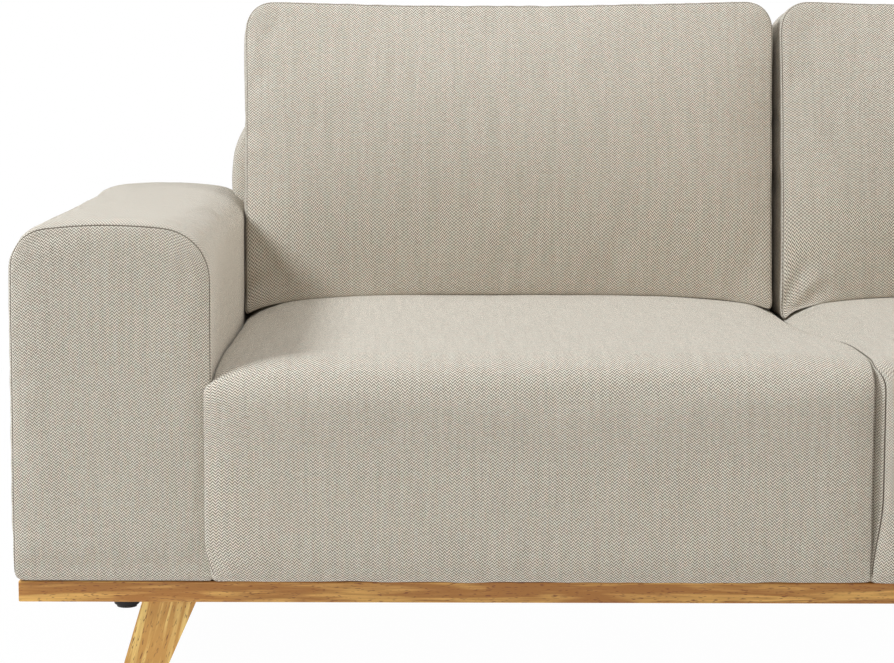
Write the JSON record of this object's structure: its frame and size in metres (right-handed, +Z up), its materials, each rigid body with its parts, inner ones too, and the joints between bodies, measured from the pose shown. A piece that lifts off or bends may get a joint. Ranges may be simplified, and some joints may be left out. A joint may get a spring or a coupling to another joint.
{
  "type": "sofa",
  "caption": "Upholstered sofa with track arms, tight seats that roll over the front, loose back cushions and a wood plinth on splayed wooden front legs.",
  "frame": {"origin": "on the floor, below the centre of the sofa's bounding box", "axes": "+X along the sofa to the right of someone facing it, -Y out of the front, +Z up"},
  "size_m": [2.04, 0.84, 0.893],
  "materials": {
    "upholstery": "herringbone weave, greige, matt",
    "plinth_wood": "light brown stained hardwood, satin lacquer",
    "leg_wood": "light oak-coloured hardwood, satin lacquer",
    "frame_wood": "sawn softwood",
    "plywood": "plywood board",
    "black_plastic": "moulded, matt black",
    "steel": "zinc plated",
    "spring_steel": "oiled spring steel",
    "felt": "needled felt, grey",
    "dust_cloth": "spun-bonded black cloth",
    "foam": "open-cell foam",
    "cushion_fibre": "fibre-wrapped foam",
    "webbing": "elastic webbing",
    "zip_tape": "closed coil zip"
  },
  "bodies": {
    "sofa": {"plinth_front_rail": "plinth_wood", "plinth_back_rail": "plinth_wood", "plinth_side_rail_left": "plinth_wood", "plinth_side_rail_right": "plinth_wood", "plinth_cross_rails": "plinth_wood", "plinth_screws": "steel", "front_leg_left": "leg_wood", "front_leg_right": "leg_wood", "leg_bolts": "steel", "tee_nuts": "steel", "leg_glides": "black_plastic", "rear_foot_left": "black_plastic", "rear_foot_right": "black_plastic", "foot_pads": "felt", "dust_cover": "dust_cloth", "seat_front_rail": "frame_wood", "seat_back_rail": "frame_wood", "seat_side_rail_left": "frame_wood", "seat_side_rail_right": "frame_wood", "seat_centre_rail": "frame_wood", "seat_corner_blocks": "plywood", "seat_springs_left": "spring_steel", "seat_springs_right": "spring_steel", "spring_clips": "spring_steel", "seat_felts": "felt", "seat_foam_left": "foam", "seat_foam_right": "foam", "seat_cover_left": "upholstery", "seat_cover_right": "upholstery", "arm_front_board_left": "plywood", "arm_rear_board_left": "plywood", "arm_top_board_left": "plywood", "arm_outer_panel_left": "plywood", "arm_inner_panel_left": "plywood", "arm_foam_left": "foam", "arm_cover_left": "upholstery", "arm_front_board_right": "plywood", "arm_rear_board_right": "plywood", "arm_top_board_right": "plywood", "arm_outer_panel_right": "plywood", "arm_inner_panel_right": "plywood", "arm_foam_right": "foam", "arm_cover_right": "upholstery", "arm_battens": "frame_wood", "arm_bolts": "steel", "back_posts": "frame_wood", "back_top_rail": "frame_wood", "back_bottom_rail": "frame_wood", "back_webbing": "webbing", "back_rear_board": "plywood", "back_foam": "foam", "back_cover": "upholstery"},
    "back_cushion_left": {"back_cushion_core_left": "cushion_fibre", "back_cushion_cover_left": "upholstery", "back_cushion_zip_left": "zip_tape"},
    "back_cushion_right": {"back_cushion_core_right": "cushion_fibre", "back_cushion_cover_right": "upholstery", "back_cushion_zip_right": "zip_tape"}
  },
  "joints": [
    {"name": "back_cushion_left_lift", "type": "slide", "parent": "sofa", "child": "back_cushion_left", "axis": [0, 0.1301, 0.9915], "range_m": [0, 0.45]},
    {"name": "back_cushion_right_lift", "type": "slide", "parent": "sofa", "child": "back_cushion_right", "axis": [0, 0.1301, 0.9915], "range_m": [0, 0.45]}
  ]
}
